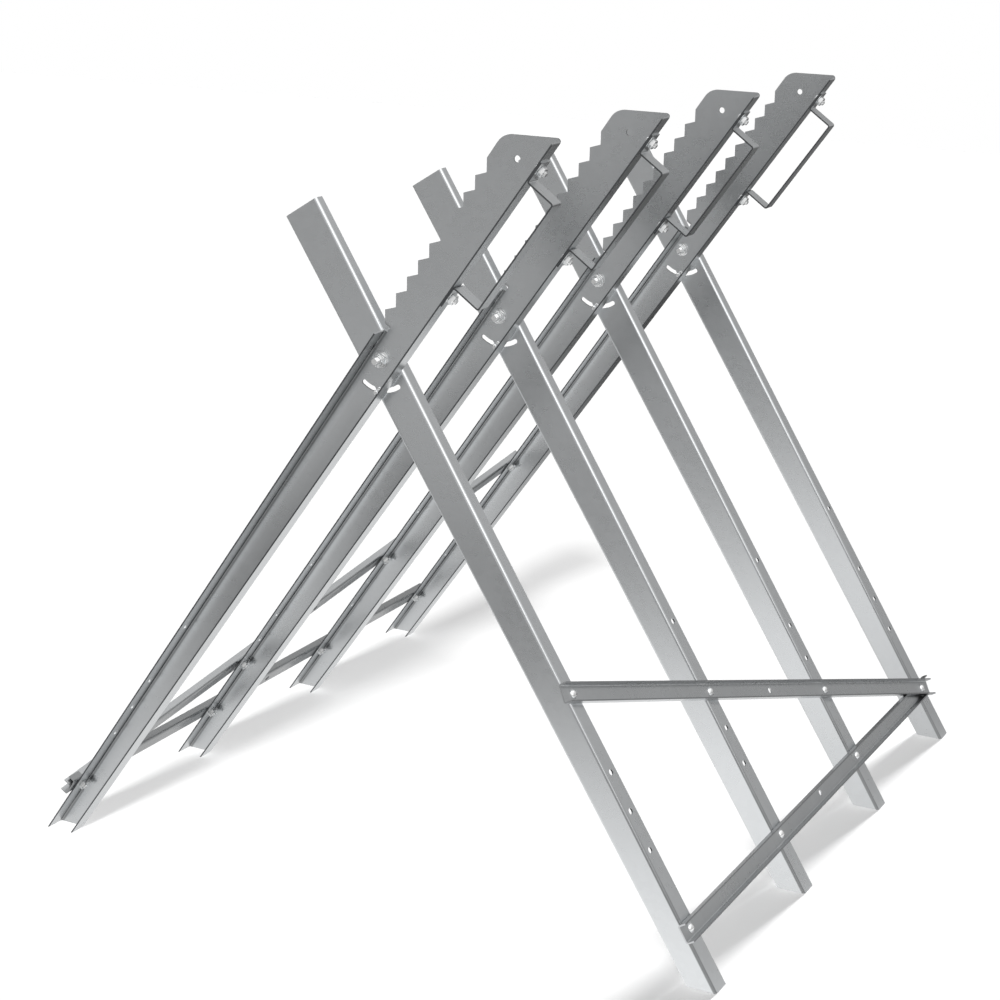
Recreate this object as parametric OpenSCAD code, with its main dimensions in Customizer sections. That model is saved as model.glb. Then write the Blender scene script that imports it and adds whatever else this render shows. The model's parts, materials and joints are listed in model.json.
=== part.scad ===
// Folding log saw stand: four crossed frames of tapered bent-sheet channel, toothed along the upper arms,
// tied together by channel braces and folding about one common pivot line.
// X runs across the stand, Y along the log, Z up. The stand is open, with its feet on z = 0.

/* [Stand] */
// Length of the stand, from the first crossed frame to the last
stand_l = 732; // [600:1:900]
// Height of the pivot line over the floor
pivot_z = 574; // [500:1:640]
// Height of the arms' cut tops over the floor
stand_h = 798; // [740:1:860]
// Angle of the toothed arms to the floor
arm_angle = 55.3; // [50:0.1:60]
// Angle of the plain legs to the floor
leg_angle = 57.6; // [52:0.1:63]
// Length of the legs above the pivot
stub_len = 165; // [130:1:220]
// Turn of the legs from open to folded
fold_travel = 64; // [50:1:64]

/* [Channel] */
// Sheet thickness of arms and legs
sheet = 1.5; // [1:0.1:2]
// Inner radius of the sheet bends
bend_r = 1.5; // [1:0.1:2]
// Web width at the pivot
web_pivot = 38; // [36:0.5:44]
// Web width at the foot
web_foot = 27; // [24:0.5:34]
// Distance of the pivot from the middle of the web
pivot_offset = 4.5; // [3.5:0.1:5.5]
// Flange depth of an arm at the pivot
arm_flange_pivot = 20; // [19:0.5:26]
// Flange depth of an arm at its foot
arm_flange_foot = 22.5; // [20:0.5:28]
// Flange depth of a leg at the pivot
leg_flange_pivot = 14; // [11:0.5:20]
// Flange depth of a leg at its foot
leg_flange_foot = 24; // [21:0.5:28]
// Running gap between the web of an arm and the web of its leg
web_gap = 0.3; // [0.2:0.05:0.6]

/* [Teeth] */
// Distance from one tooth to the next
tooth_pitch = 20.6; // [19:0.1:21]
// Depth of a tooth, square to the arm
tooth_depth = 7.6; // [5:0.1:8]
// Distance from the pivot to the foot of the lowest tooth
tooth_start = 31; // [28:0.5:36]
// Least length of plain blade between the teeth and the top
blade_plain = 54; // [45:0.5:70]
// How far the tooth roots stand past the bent edge of the web
tooth_past = 2.6; // [0:0.1:5]
// Cut between the end of the flange and the lowest tooth
relief_w = 6; // [3:0.5:8]
// Radius of the blade's upper corner
top_r = 18; // [10:1:20]
// Radius of the arm's other upper corner, across web and flange
corner_r = 4; // [2:0.5:6]
// Diameter of the hole near the top of the blade
top_hole_d = 6.5; // [5:0.1:8]
// Distance from the top of the arm down to that hole
top_hole_down = 26.5; // [22:0.5:36]

/* [Handles] */
// Length of a handle over its two legs
handle_len = 128.5; // [110:0.5:132]
// Distance from the arm's flange to the outside of the handle
handle_reach = 33; // [28:0.5:45]
// Distance from the top of the arm down to the upper leg of a handle
handle_down = 28.5; // [26:0.5:40]
// Width of the handle strap
strap_w = 17; // [14:0.5:17]
// Thickness of the handle strap
strap = 1.6; // [1.4:0.1:3]
// Inner radius of the strap's bends
strap_r = 1.2; // [1:0.1:3]
// Length of a strap foot past its leg
strap_foot = 22; // [20:0.5:24]
// Distance from the outside of a strap leg to its bolt
strap_bolt = 12.5; // [12:0.1:13.5]

/* [Braces] */
// Width of a brace
brace_w = 20; // [17:0.5:24]
// Depth of a brace
brace_h = 9; // [7:0.5:12]
// Sheet thickness of a brace
brace_sheet = 1.5; // [1:0.1:2]
// Inner radius of the bends of a brace
brace_r = 1.2; // [0.8:0.1:1.5]
// Length of a brace past its end bolts
brace_end = 18; // [14:0.5:22]
// Distance from the pivot to the lowest hole of an arm
arm_hole_s = 635; // [600:1:645]
// Distance from the pivot to the lowest hole of a leg
leg_hole_s = 619; // [590:1:630]
// Step of the flange holes
hole_step = 41.8; // [36:0.1:46]
// Distance of the flange holes from the back of the web
hole_y = 10.5; // [9:0.1:11]
// Clearance between a diagonal brace and the brace under it
brace_fit = 0.15; // [0.1:0.05:0.4]

/* [Fasteners] */
// Diameter of the pivot bolts
pivot_d = 8; // [7:0.1:9]
// Radial running clearance of a leg on its pivot bolt
pivot_fit = 0.05; // [0.02:0.01:0.1]
// How far a pivot bolt reaches in front of the frame line
pivot_out = 15.5; // [14:0.5:20]
// Width of the pivot nuts and heads over their flats
pivot_hex = 13; // [11:0.1:14]
// Height of a pivot nut
pivot_nut_h = 8; // [6:0.1:8.5]
// Height of a pivot bolt's head
pivot_head_h = 5.3; // [4:0.1:6]
// Outer diameter of the pivot washers
washer_d = 16; // [14:0.5:17]
// Thickness of the pivot washers
washer_h = 1.6; // [1:0.1:2]
// Diameter of the brace and handle bolts
bolt_d = 6; // [5:0.1:6.5]
// Diameter of their domed heads
dome_d = 11; // [9:0.1:12]
// Height of their domed heads
dome_h = 3.3; // [2.5:0.1:4]
// Width of their nuts over the flats
nut_hex = 10; // [9:0.1:10.5]
// Height of their nuts
nut_h = 4.6; // [4:0.1:5.5]
// How far those bolts stand out of their nuts
bolt_out = 2.4; // [1.5:0.1:4]
// Radial clearance of a bolt in its hole
bolt_fit = 0.25; // [0.1:0.05:0.4]
// Radial clearance of a bolt in its nut or washer
thread_fit = 0.05; // [0.02:0.01:0.1]

/* [Fold stop] */
// Distance of the stop pins from the pivot
stop_r = 31; // [29:0.1:31.5]
// Diameter of a stop pin
stop_d = 4.2; // [3.8:0.1:5.2]
// Diameter of a stop pin's collar and head
stop_head_d = 7.4; // [6.8:0.1:7.6]
// Height of a stop pin's collar and head
stop_head_h = 2.4; // [1.5:0.1:3]
// How far a stop pin reaches in front of the frame line
stop_out = 12.5; // [8:0.5:14]
// Clearance of a stop pin in its slots and between its heads
stop_fit = 0.3; // [0.25:0.05:0.35]
// How much wider the rounded ends of the slots are
slot_relief = 0.1; // [0.06:0.02:0.2]
// Turn of the slots past the folded end
slot_past = 4; // [2:0.5:6]

/* [Hidden] */

frames = 4;
bays = frames - 1;
frame_gap = stand_l / bays;
cut = 1;
$fn = 48;

// Distances from the pivot to the floor along arm and leg
arm_reach = pivot_z / sin(arm_angle);
leg_reach = pivot_z / sin(leg_angle);
// Length of an arm above the pivot
arm_up = (stand_h - pivot_z) / sin(arm_angle);
// Half angle between the two bends of a tapered channel
arm_taper = atan((web_pivot - web_foot) / 2 / arm_reach);
leg_taper = atan((web_pivot - web_foot) / 2 / leg_reach);
// Distance from the pivot to the near and the far flange, at the pivot
near_t = web_pivot / 2 - pivot_offset;
far_t = web_pivot / 2 + pivot_offset;
bend_out = bend_r + sheet;
// How far the plain part of a web stops short of its bent edges
web_in = 1.5 * bend_out;

// Feet of the outermost flanges, from which the pivot line is put in the middle of the stand
arm_foot_s = -(pivot_z + near_t * cos(arm_angle)) / (sin(arm_angle) + tan(arm_taper) * cos(arm_angle));
arm_foot_x = arm_foot_s * cos(arm_angle) - (near_t + arm_foot_s * tan(arm_taper)) * sin(arm_angle);
leg_foot_s = (pivot_z + near_t * cos(leg_angle)) / (sin(leg_angle) + tan(leg_taper) * cos(leg_angle));
leg_foot_x = leg_foot_s * cos(leg_angle) + (near_t - leg_foot_s * tan(leg_taper)) * sin(leg_angle);
pivot_x = -(arm_foot_x + leg_foot_x) / 2;

// Channel ends before they are cut to the floor and to the top
end_over = 60;
arm_lo = -arm_reach - end_over;
arm_hi = arm_up + end_over;
leg_lo = -stub_len - end_over;
leg_hi = leg_reach + end_over;

// Tooth outline, measured along the arm (s) and square to it (t)
tooth_count = floor((arm_up - blade_plain - tooth_start) / tooth_pitch);
root_t = near_t + tooth_past;
tip_t = root_t + tooth_depth;
riser_s = tooth_depth * tan(arm_angle);
flange_end_s = tooth_start - relief_w;
top_hole_s = arm_up - top_hole_down;
handle_s = arm_up - handle_down - handle_len;

// Corner between the tooth tip line and the top cut, set a hair high so that the cut leaves a clean edge
corner_rise = 0.02;
corner_s = (stand_h + corner_rise - pivot_z - tip_t * cos(arm_angle)) / sin(arm_angle);
corner_len = top_r / tan((180 - arm_angle) / 2);

// The stop pin lies half-way between the lower arm and the lower leg
stop_half = (180 - arm_angle - leg_angle) / 2;
stop_turn = arm_angle + 180 + stop_half;
slot_lo = stop_half - fold_travel / 2 - slot_past;

// Diagonal braces climb two hole steps a frame and lie on the lower brace at one end
climb = 2 * hole_step;
diagonal_gap = norm([frame_gap, climb]);
diagonal_turn = atan(climb / frame_gap);
diagonal_lift = brace_sheet + brace_fit;
diagonal_run = bays * diagonal_gap + brace_end;

hole_counts = [0, 2, 3, 4, 6];
steel = "silver";
bright = "gainsboro";

function frame_y(k) = (k - bays / 2) * frame_gap;
function arm_hole_y(k) = frame_y(k) - web_gap / 2 - hole_y;
function leg_hole_y(k) = frame_y(k) + web_gap / 2 + hole_y;
function lift_at(i) = diagonal_lift * (1 - i * diagonal_gap / diagonal_run);

// Places: along an arm (x up the arm, z to its toothed side) and along a leg (x down, z to its log side)
module at_arm() {
    translate([pivot_x, 0, pivot_z]) rotate([0, -arm_angle, 0]) children();
}

module at_leg() {
    translate([pivot_x, 0, pivot_z]) rotate([0, leg_angle, 0]) children();
}

// Outer faces of the flanges, with z pointing away from the sheet
module arm_near_flange() {
    rotate([0, -arm_taper, 0]) translate([0, 0, near_t * cos(arm_taper)]) children();
}

module arm_far_flange() {
    rotate([0, arm_taper, 0]) translate([0, 0, -far_t * cos(arm_taper)]) mirror([0, 0, 1]) children();
}

module leg_near_flange() {
    rotate([0, leg_taper, 0]) translate([0, 0, near_t * cos(leg_taper)]) children();
}

module leg_far_flange() {
    rotate([0, -leg_taper, 0]) translate([0, 0, -far_t * cos(leg_taper)]) mirror([0, 0, 1]) children();
}

// Section of one bent edge: a flange along -x and a strip of web along -y, with a rounded bend
module bent_edge_section(flange) {
    web = 2 * bend_out;
    difference() {
        union() {
            translate([-flange, -web]) square([flange, web - bend_out]);
            translate([-flange, -web]) square([flange - bend_out, web]);
            translate([-bend_out, -bend_out]) circle(bend_out);
        }
        translate([-flange - cut, -web - cut]) square([flange + cut - sheet, web + cut - bend_out]);
        translate([-flange - cut, -web - cut]) square([flange + cut - bend_out, web + cut - sheet]);
        translate([-bend_out, -bend_out]) circle(bend_r);
    }
}

// Section of an open channel with its web on y = 0
module channel_section(w, h, t, r) {
    out = r + t;
    difference() {
        union() {
            translate([-w / 2, out]) square([w, h - out]);
            translate([-w / 2 + out, 0]) square([w - 2 * out, h]);
            for (side = [-1, 1]) translate([side * (w / 2 - out), out]) circle(out);
        }
        translate([-w / 2 + t, out]) square([w - 2 * t, h]);
        translate([-w / 2 + out, t]) square([w - 2 * out, h]);
        for (side = [-1, 1]) translate([side * (w / 2 - out), out]) circle(r);
    }
}

// Runs a section along x, with its own x along y and its own y along z
module along(from, to) {
    translate([from, 0, 0]) rotate([90, 0, 90]) linear_extrude(to - from) children();
}

// Turns an outline drawn along the channel (s, t) into a plate behind y = 0
module plate(thick) {
    rotate([90, 0, 0]) linear_extrude(thick) children();
}

// Block that trims a flange to a depth running linearly from the pivot to the foot
module flange_trim(lo, hi, pivot_depth, foot_depth, foot_s) {
    slope = (foot_depth - pivot_depth) / foot_s;
    side = 2 * far_t;
    translate([0, 0, -side]) linear_extrude(2 * side)
        polygon([[lo, cut], [lo, -pivot_depth - slope * lo], [hi, -pivot_depth - slope * hi], [hi, cut]]);
}

// Curved slot about the pivot, through a plate
module stop_slot(from, to) {
    width = stop_d + 2 * stop_fit;
    rotate([90, 0, 0]) translate([0, 0, -sheet]) {
        rotate([0, 0, from]) rotate_extrude(angle = to - from)
            translate([stop_r - width / 2, 0]) square([width, 3 * sheet]);
        for (a = [from, to]) rotate([0, 0, a]) translate([stop_r, 0, 0])
            cylinder(d = width + slot_relief, h = 3 * sheet);
    }
}

module plate_hole(s, d) {
    translate([s, sheet, 0]) rotate([90, 0, 0]) cylinder(d = d, h = 3 * sheet);
}

module flange_hole(s, y) {
    translate([s, y, -2 * sheet]) cylinder(d = bolt_d + 2 * bolt_fit, h = 3 * sheet);
}

// Web and blade of an arm: a tapered strip below, toothed along the upper edge
module arm_outline() {
    far_lo = far_t + arm_lo * tan(arm_taper) - web_in;
    far_hi = far_t + arm_hi * tan(arm_taper) - web_in;
    near_lo = near_t + arm_lo * tan(arm_taper) - web_in;
    near_hi = near_t + tooth_start * tan(arm_taper) - web_in;
    last_s = tooth_start + tooth_count * tooth_pitch;
    teeth = [
        for (i = [tooth_count - 1:-1:0], up = [1, 0])
            [tooth_start + i * tooth_pitch + up * riser_s, root_t + up * tooth_depth]
    ];
    difference() {
        polygon(concat(
            [[arm_lo, -far_lo], [arm_hi, -far_hi]],
            [[arm_hi, tip_t], [last_s + riser_s, tip_t], [last_s, root_t]],
            teeth,
            [[tooth_start, near_hi], [arm_lo, near_lo]]
        ));
        translate([corner_s, tip_t]) difference() {
            polygon([
                [-corner_len, -top_r], [-corner_len, cut], [top_r, top_r],
                [corner_len * cos(arm_angle) + cut * sin(arm_angle),
                 cut * cos(arm_angle) - corner_len * sin(arm_angle)]
            ]);
            translate([-corner_len, -top_r]) circle(top_r);
        }
    }
}

module arm_holes() {
    plate_hole(0, pivot_d + 2 * bolt_fit);
    plate_hole(top_hole_s, top_hole_d);
    stop_slot(180 + slot_lo, 180 + stop_half);
    arm_near_flange() for (n = hole_counts) flange_hole(n * hole_step - arm_hole_s, -hole_y);
    arm_far_flange() for (s = handle_bolts_s()) flange_hole(s, -hole_y);
}

// Rounds the upper corner of an arm over its far flange, the arc standing a hair proud of both faces
module arm_corner_cut() {
    turn = arm_angle - arm_taper;
    inset = corner_r - corner_rise;
    reach = inset / tan(turn / 2);
    corner = (stand_h - pivot_z + far_t * cos(arm_taper) * cos(turn)) / sin(turn);
    arm_far_flange() translate([corner, cut, 0]) rotate([90, 0, 0]) linear_extrude(2 * arm_flange_foot)
        difference() {
            polygon([
                [-reach, -inset], [-reach, cut], [reach, cut],
                [cut * sin(turn) - reach * cos(turn), -cut * cos(turn) - reach * sin(turn)]
            ]);
            translate([-reach, -inset]) circle(corner_r);
        }
}

module toothed_arm(k) {
    side = 2 * arm_reach;
    color(steel) translate([0, frame_y(k) - web_gap / 2, 0]) difference() {
        at_arm() difference() {
            union() {
                plate(sheet) arm_outline();
                intersection() {
                    union() {
                        arm_near_flange() along(arm_lo, flange_end_s) bent_edge_section(2 * arm_flange_foot);
                        arm_far_flange() along(arm_lo, arm_hi) bent_edge_section(2 * arm_flange_foot);
                    }
                    flange_trim(arm_lo - cut, arm_hi + cut, arm_flange_pivot, arm_flange_foot, -arm_reach);
                }
            }
            arm_holes();
            arm_corner_cut();
        }
        translate([-side, -side / 2, -side]) cube(side);
        translate([-side, -side / 2, stand_h]) cube([2 * side, side, side]);
    }
}

module leg_outline() {
    far_lo = far_t - leg_lo * tan(leg_taper) - web_in;
    far_hi = far_t - leg_hi * tan(leg_taper) - web_in;
    near_lo = near_t - leg_lo * tan(leg_taper) - web_in;
    near_hi = near_t - leg_hi * tan(leg_taper) - web_in;
    polygon([[leg_lo, -far_lo], [leg_hi, -far_hi], [leg_hi, near_hi], [leg_lo, near_lo]]);
}

module leg_holes() {
    plate_hole(0, pivot_d + 2 * pivot_fit);
    stop_slot(-stop_half, -slot_lo);
    leg_near_flange() for (n = hole_counts) flange_hole(leg_hole_s - n * hole_step, -hole_y);
}

// A leg is drawn with its flanges forward and mirrored, so that they point away from the arms
module leg(k) {
    side = 2 * leg_reach;
    color(steel) translate([0, frame_y(k) + web_gap / 2, 0]) mirror([0, 1, 0]) difference() {
        at_leg() difference() {
            union() {
                plate(sheet) leg_outline();
                intersection() {
                    union() {
                        leg_near_flange() along(leg_lo, leg_hi) bent_edge_section(2 * leg_flange_foot);
                        leg_far_flange() along(leg_lo, leg_hi) bent_edge_section(2 * leg_flange_foot);
                    }
                    flange_trim(leg_lo - cut, leg_hi + cut, leg_flange_pivot, leg_flange_foot, leg_reach);
                }
            }
            leg_holes();
            translate([-stub_len - side, -side / 2, -side / 2]) cube(side);
        }
        translate([-side / 2, -side / 2, -side]) cube(side);
    }
}

// Strap handle: a flat bar bent out to a grip, with a bolted foot at each end
function handle_bolts_s() = [handle_s - strap_bolt, handle_s + handle_len + strap_bolt];

module strap_bend(x, z, turn) {
    translate([x, z]) rotate(turn) intersection() {
        difference() {
            circle(strap_r + strap);
            circle(strap_r);
        }
        square(strap_r + strap);
    }
}

module strap_half() {
    out = strap_r + strap;
    half = handle_len / 2;
    translate([half + strap_r, 0]) square([strap_foot - strap_r, strap]);
    strap_bend(half + strap_r, out, 180);
    translate([half - strap, out]) square([strap, handle_reach - 2 * out]);
    strap_bend(half - out, handle_reach - out, 0);
    translate([0, handle_reach - strap]) square([half - out, strap]);
}

module handle(k) {
    color(steel) translate([0, frame_y(k) - web_gap / 2 - hole_y, 0]) at_arm() arm_far_flange() difference() {
        translate([handle_s + handle_len / 2, strap_w / 2, 0]) rotate([90, 0, 0]) linear_extrude(strap_w) {
            strap_half();
            mirror([1, 0]) strap_half();
        }
        for (s = handle_bolts_s())
            translate([s, 0, -cut]) cylinder(d = bolt_d + 2 * bolt_fit, h = strap + 2 * cut);
    }
}

// Channel brace with its web on z = 0, its first bolt at the origin and its line along x
module brace(gap) {
    difference() {
        along(-brace_end, bays * gap + brace_end) channel_section(brace_w, brace_h, brace_sheet, brace_r);
        for (i = [0, 1, bays / 2, 2, 3])
            translate([i * gap, 0, -cut]) cylinder(d = bolt_d + 2 * bolt_fit, h = brace_sheet + 2 * cut);
    }
}

// Lower brace, its flanges cut away where the diagonal brace lies on it
module lower_brace(turn) {
    band = brace_w + 2 * brace_fit;
    difference() {
        brace(frame_gap);
        rotate([0, 0, turn]) translate([-2 * brace_end, -band / 2, brace_sheet])
            cube([2 * brace_end + diagonal_gap, band, brace_h]);
    }
}

// Diagonal brace, lifted at its first bolt by the sheet under it
module diagonal_brace() {
    translate([0, 0, diagonal_lift]) rotate([0, asin(diagonal_lift / diagonal_run), 0]) brace(diagonal_gap);
}

module arm_brace_place() {
    at_arm() arm_near_flange() translate([-arm_hole_s, arm_hole_y(0), 0]) rotate([0, 0, 90]) children();
}

module leg_brace_place() {
    at_leg() leg_near_flange() translate([leg_hole_s, leg_hole_y(bays), 0]) rotate([0, 0, -90]) children();
}

module arm_lower_brace() {
    color(steel) arm_brace_place() lower_brace(-diagonal_turn);
}

module arm_diagonal_brace() {
    color(steel) arm_brace_place() rotate([0, 0, -diagonal_turn]) diagonal_brace();
}

module leg_lower_brace() {
    color(steel) leg_brace_place() lower_brace(-diagonal_turn);
}

module leg_diagonal_brace() {
    color(steel) leg_brace_place() rotate([0, 0, -diagonal_turn]) diagonal_brace();
}

// Bolts of one pair of braces: [place along the lower brace, place up the arm, height of the head's seat]
brace_bolts = concat(
    [[0, 0, diagonal_lift + brace_sheet]],
    [for (i = [1:bays]) [i * frame_gap, 0, brace_sheet]],
    [for (i = [1:bays]) [i * frame_gap, -i * climb, lift_at(i) + brace_sheet]]
);

module domed_bolt(grip) {
    ball = (pow(dome_d / 2, 2) + pow(dome_h, 2)) / (2 * dome_h);
    tip = bolt_d / 8;
    intersection() {
        translate([0, 0, dome_h - ball]) sphere(ball);
        cylinder(d = dome_d, h = dome_h);
    }
    translate([0, 0, tip - grip]) cylinder(d = bolt_d, h = grip - tip + dome_h / 2);
    translate([0, 0, -grip]) cylinder(d1 = bolt_d - 2 * tip, d2 = bolt_d, h = tip);
}

module hex_nut(flats, h, bore) {
    difference() {
        cylinder(d = flats / cos(30), h = h, $fn = 6);
        translate([0, 0, -cut]) cylinder(d = bore, h = h + 2 * cut);
    }
}

module brace_bolt_set() {
    for (b = brace_bolts)
        translate(b) domed_bolt(b[2] + sheet + nut_h + bolt_out);
}

module brace_nut_set() {
    for (b = brace_bolts)
        translate([b[0], b[1], -sheet - nut_h]) hex_nut(nut_hex, nut_h, bolt_d + 2 * thread_fit);
}

module arm_brace_bolts() {
    color(bright) arm_brace_place() brace_bolt_set();
}

module arm_brace_nuts() {
    color(bright) arm_brace_place() brace_nut_set();
}

module leg_brace_bolts() {
    color(bright) leg_brace_place() brace_bolt_set();
}

module leg_brace_nuts() {
    color(bright) leg_brace_place() brace_nut_set();
}

// Handle fasteners: heads inside the channel, nuts on the strap feet
module handle_places() {
    for (k = [0:bays], s = handle_bolts_s())
        translate([0, arm_hole_y(k), 0]) at_arm() arm_far_flange() translate([s, 0, 0]) children();
}

module handle_bolts() {
    color(bright) handle_places() translate([0, 0, -sheet]) mirror([0, 0, 1])
        domed_bolt(sheet + strap + nut_h + bolt_out);
}

module handle_nuts() {
    color(bright) handle_places() translate([0, 0, strap]) hex_nut(nut_hex, nut_h, bolt_d + 2 * thread_fit);
}

// Pivot fasteners: z points to the front of the stand, the head is behind the leg and the nut in the arm
module pivot_places() {
    for (k = [0:bays])
        translate([pivot_x, frame_y(k), pivot_z]) rotate([90, 0, 0]) children();
}

web_face = web_gap / 2 + sheet;
back_washer = web_face + web_gap + washer_h;

module pivot_bolts() {
    tip = pivot_d / 8;
    color(bright) pivot_places() {
        translate([0, 0, -back_washer - pivot_head_h])
            cylinder(d = pivot_hex / cos(30), h = pivot_head_h, $fn = 6);
        translate([0, 0, -back_washer - cut]) cylinder(d = pivot_d, h = back_washer + cut + pivot_out - tip);
        translate([0, 0, pivot_out - tip]) cylinder(d1 = pivot_d, d2 = pivot_d - 2 * tip, h = tip);
    }
}

module washer() {
    difference() {
        cylinder(d = washer_d, h = washer_h);
        translate([0, 0, -cut]) cylinder(d = pivot_d + 2 * thread_fit, h = washer_h + 2 * cut);
    }
}

module pivot_washers() {
    color(bright) pivot_places() {
        translate([0, 0, web_face]) washer();
        translate([0, 0, -back_washer]) washer();
    }
}

module pivot_nuts() {
    color(bright) pivot_places() translate([0, 0, web_face + washer_h])
        hex_nut(pivot_hex, pivot_nut_h, pivot_d + 2 * thread_fit);
}

// Stop pins ride in the curved slots of arm and leg and end the opening of the stand
module stop_places() {
    pivot_places() rotate([0, 0, stop_turn]) translate([stop_r, 0, 0]) children();
}

stop_face = web_face + stop_fit;

module stop_pins() {
    tip = stop_d / 8;
    color(bright) stop_places() {
        translate([0, 0, -stop_face - stop_head_h]) cylinder(d = stop_head_d, h = stop_head_h);
        translate([0, 0, -stop_face - cut]) cylinder(d = stop_d, h = stop_face + cut + stop_out - tip);
        translate([0, 0, stop_out - tip]) cylinder(d1 = stop_d, d2 = stop_d - 2 * tip, h = tip);
    }
}

module stop_collars() {
    color(bright) stop_places() translate([0, 0, stop_face]) difference() {
        cylinder(d = stop_head_d, h = stop_head_h);
        translate([0, 0, -cut]) cylinder(d = stop_d + 2 * thread_fit, h = stop_head_h + 2 * cut);
    }
}

module toothed_arm_1() { toothed_arm(0); }
module toothed_arm_2() { toothed_arm(1); }
module toothed_arm_3() { toothed_arm(2); }
module toothed_arm_4() { toothed_arm(3); }
module leg_1() { leg(0); }
module leg_2() { leg(1); }
module leg_3() { leg(2); }
module leg_4() { leg(3); }
module handle_1() { handle(0); }
module handle_2() { handle(1); }
module handle_3() { handle(2); }
module handle_4() { handle(3); }

toothed_arm_1();
toothed_arm_2();
toothed_arm_3();
toothed_arm_4();
leg_1();
leg_2();
leg_3();
leg_4();
handle_1();
handle_2();
handle_3();
handle_4();
arm_lower_brace();
arm_diagonal_brace();
leg_lower_brace();
leg_diagonal_brace();
arm_brace_bolts();
arm_brace_nuts();
leg_brace_bolts();
leg_brace_nuts();
handle_bolts();
handle_nuts();
pivot_bolts();
pivot_washers();
pivot_nuts();
stop_pins();
stop_collars();
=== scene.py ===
"""Looks of a folding log saw stand: galvanised sheet frames, zinc-plated fasteners and a white studio."""
import json

import bmesh
import bpy
import numpy as np
from bpy.props import FloatProperty, FloatVectorProperty, IntProperty, PointerProperty
from mathutils import Matrix


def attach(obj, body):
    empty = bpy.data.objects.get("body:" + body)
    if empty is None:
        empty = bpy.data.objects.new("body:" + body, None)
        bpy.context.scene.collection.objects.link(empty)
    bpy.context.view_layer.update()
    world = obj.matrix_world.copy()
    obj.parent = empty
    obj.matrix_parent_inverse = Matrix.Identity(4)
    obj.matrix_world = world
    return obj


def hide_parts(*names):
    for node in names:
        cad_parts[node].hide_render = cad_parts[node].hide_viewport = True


bl_info = {
    "name": "Log Saw Stand",
    "version": (1, 0, 0),
    "blender": (4, 5, 0),
    "location": "View3D > Sidebar > Log Stand",
    "description": "Galvanised finish, detailed fasteners and studio for a folding log saw stand",
    "category": "Object",
}

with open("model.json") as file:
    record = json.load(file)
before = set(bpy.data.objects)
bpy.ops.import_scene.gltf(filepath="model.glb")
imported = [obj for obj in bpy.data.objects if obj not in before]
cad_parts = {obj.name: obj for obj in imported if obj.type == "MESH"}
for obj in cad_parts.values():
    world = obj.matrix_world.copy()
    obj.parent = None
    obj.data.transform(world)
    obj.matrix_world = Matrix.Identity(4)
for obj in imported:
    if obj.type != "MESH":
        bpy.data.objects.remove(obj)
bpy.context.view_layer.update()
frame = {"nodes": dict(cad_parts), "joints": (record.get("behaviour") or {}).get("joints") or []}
ARM_BODY, LEG_BODY, STOP_BODY = "arm_frame", "leg_frame", "stop_pins"
FRAMES = 4
PIVOT = next(j for j in frame["joints"] if j["name"] == "fold")["pos_m"]

# Meshes
MERGE_GAP = 1e-6  # points closer than this become one
SHARP_ANGLE = np.radians(32)  # edges bent more than this stay hard
PLAY = 1.01  # bore of a nut over the radius of its bolt
WASHER_PLAY = 1.02  # the same for washers and collars
THREAD_ROWS = 8  # rows of points to one turn of a thread
THREAD_TURNS = 11  # turns of thread at the end of a bolt
THREAD_DEPTH = 0.4  # depth of a thread over its pitch
BOLT_TIP = 0.74  # radius at the very end of a bolt over that of its shank

# Sheet metal
ALONG, ACROSS = 0.8, 0.3  # share of a normal on an axis, over or under which a face looks along or across it
FLANGE_EDGE = 0.0085  # distance from the frame line past which faces along the stand are flange edges
WEB_WALL = 0.00074  # just under half the sheet, so that walls are found inside it alone
BRACE_EDGE = 0.0082  # height over the carrying flange past which faces of a brace are flange edges
WEB_REACH = 0.04  # depth from the near flange over which the painted light and shade of an arm's web are spread
WEB_PAINTED_LIGHT_AND_SHADE = ((0.0, 0.5), (0.09, 0.5), (0.17, 1.0), (0.33, 0.55), (0.6, 0.28), (1.0, 0.2))  # painted light and shade across an arm's web, by depth from the near flange; 0.5 is plain zinc
ROLLING = (5.0, 420.0, 420.0)  # rolling streaks to the metre, along the sheet and across it
CLOUDS = 0.16  # how much lighter the clouds make a brace

# Studio
RING_REACH = 5.0  # distance over which the tones of the floor are spread
RING_TONES = ((0.09, 1.0), (0.14, 0.8), (0.17, 0.6), (0.2, 0.42), (0.225, 0.3), (0.255, 0.2), (0.285, 0.2),
              (0.31, 0.34), (0.335, 0.5), (0.365, 0.6), (0.42, 0.66), (0.6, 0.42), (1.0, 0.42))
RING_SQUEEZE = 0.2  # weight of the square of x against that of y in this distance
FLOOR_ROWS = 13  # rows of points in the floor
FLOOR_DROP = 0.0004  # depth of the floor under the feet
FLOOR_LEVEL = 0.98  # factor on the ring's tones between the feet
FLOOR_FALL = 0.6  # how much of it is lost to the metre rearwards at the right, and beyond the stand
FLOOR_LIMITS = (0.3, 1.17)  # darkest and brightest that it gets
FOOT_DUSK = 0.25  # share that is lost beside the arms' feet
WALL_RISE = (0.2, 0.36)  # how the room brightens with height and with its square
REAR_RISE, REAR_EVEN = 0.5, 0.28  # how the rear wall brightens to the right, and from which x on
PANE_AIM = (0.72, -0.5, 0.48)  # direction of the bright pane
KEY_DISTANCE = 3.0  # how far off the key lamps hang, in lengths of their aim
SOFT_BOXES = (  # name, place, target, width, height, watts
    ("soft_box_right", (2.4, -1.6, 1.9), (0.1, 0.0, 0.35), 0.7, 1.8, 4.0),
    ("soft_box_front", (-1.3, -2.1, 1.9), (0.0, 0.0, 0.55), 0.8, 0.8, 8.0),
)
WHITE = (1.0, 1.0, 1.0, 1.0)
FLOOR_PAINT = (0.92, 0.92, 0.92, 1.0)


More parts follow.
